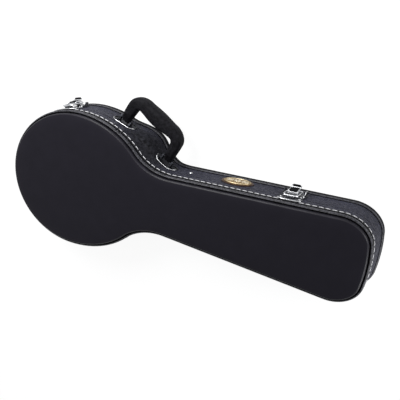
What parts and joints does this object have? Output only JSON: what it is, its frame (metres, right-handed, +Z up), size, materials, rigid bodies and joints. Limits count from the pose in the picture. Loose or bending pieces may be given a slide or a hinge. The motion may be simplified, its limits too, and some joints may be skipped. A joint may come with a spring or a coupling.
{
  "type": "mandolin case",
  "caption": "Shaped hard case for a mandolin, with a hinged lid, draw latches, a swinging handle and a padded interior with a lidded pocket.",
  "frame": {"origin": "on the flat bottom panel, below the centre of the wide body", "axes": "+X from the tail to the head, +Y towards the handle side, +Z up from the bottom panel to the lid"},
  "size_m": [0.7624, 0.3309, 0.1146],
  "materials": {
    "vinyl": "black grained vinyl over plywood",
    "welt": "stitched vinyl binding",
    "board": "cloth-covered lining board",
    "badge_border": "dark border",
    "plush": "short-pile plush over foam",
    "chrome": "polished chrome plate",
    "plastic": "moulded, satin",
    "gold": "gold-coloured, satin"
  },
  "bodies": {
    "case_bottom": {"bottom_panel": "vinyl", "bottom_side_handle": "vinyl", "bottom_side_hinge": "vinyl", "rear_welt": "welt", "rim_strip_handle": "board", "rim_strip_hinge": "board", "floor_padding": "plush", "side_padding_handle": "plush", "side_padding_hinge": "plush", "neck_cradle": "plush", "cross_wall": "plush", "pocket_box": "board", "hinge_lower_body": "chrome", "hinge_lower_head": "chrome", "hinge_pin_body": "chrome", "hinge_pin_head": "chrome", "latch_base_tail": "chrome", "latch_base_head": "chrome", "latch_pin_tail": "chrome", "latch_pin_head": "chrome", "handle_plate_tail": "chrome", "handle_plate_head": "chrome", "handle_pin_tail": "chrome", "handle_pin_head": "chrome", "badge_plate": "badge_border", "badge_medallion": "gold", "side_stud": "chrome", "side_foot_tail": "plastic", "side_foot_shoulder": "plastic", "side_foot_head": "plastic"},
    "lid": {"lid_panel": "vinyl", "lid_side_handle": "vinyl", "lid_side_hinge": "vinyl", "front_welt": "welt", "lid_padding": "plush", "lid_lining_handle": "plush", "lid_lining_hinge": "plush", "keeper_tail": "chrome", "keeper_head": "chrome", "hinge_upper_body": "chrome", "hinge_upper_head": "chrome"},
    "tail_lever": {"latch_lever_tail": "chrome", "latch_grip_tail": "plastic"},
    "tail_bail": {"latch_bail_tail": "chrome"},
    "head_lever": {"latch_lever_head": "chrome", "latch_grip_head": "plastic"},
    "head_bail": {"latch_bail_head": "chrome"},
    "handle": {"handle_grip": "plastic"},
    "flap": {"pocket_flap": "plush", "flap_pull": "board"}
  },
  "joints": [
    {"name": "lid_hinge", "type": "hinge", "parent": "case_bottom", "child": "lid", "pos_m": [0.01564, -0.14407, 0.069], "axis": [0.9942, 0.1079, 0], "range_deg": [0, 100]},
    {"name": "tail_lever_pivot", "type": "hinge", "parent": "case_bottom", "child": "tail_lever", "pos_m": [-0.04773, 0.14033, 0.0595], "axis": [0.9614, 0.2752, 0], "range_deg": [0, 150]},
    {"name": "tail_bail_pivot", "type": "hinge", "parent": "tail_lever", "child": "tail_bail", "pos_m": [-0.04778, 0.14052, 0.045], "axis": [0.9614, 0.2752, 0], "range_deg": [-150, 0]},
    {"name": "head_lever_pivot", "type": "hinge", "parent": "case_bottom", "child": "head_lever", "pos_m": [0.44072, 0.08224, 0.0595], "axis": [0.9981, 0.061, 0], "range_deg": [0, 150]},
    {"name": "head_bail_pivot", "type": "hinge", "parent": "head_lever", "child": "head_bail", "pos_m": [0.44071, 0.08244, 0.045], "axis": [0.9981, 0.061, 0], "range_deg": [-150, 0]},
    {"name": "handle_swing", "type": "hinge", "parent": "case_bottom", "child": "handle", "pos_m": [0.12714, 0.10601, 0.054], "axis": [0.8775, -0.4796, 0], "range_deg": [-40, 60]},
    {"name": "flap_hinge", "type": "hinge", "parent": "case_bottom", "child": "flap", "pos_m": [0.3107, 0, 0.0443], "axis": [0, 1, 0], "range_deg": [0, 95]}
  ],
  "couplings": [
    {"joint": "tail_bail_pivot", "follows": "tail_lever_pivot", "ratio": -1},
    {"joint": "head_bail_pivot", "follows": "head_lever_pivot", "ratio": -1}
  ]
}
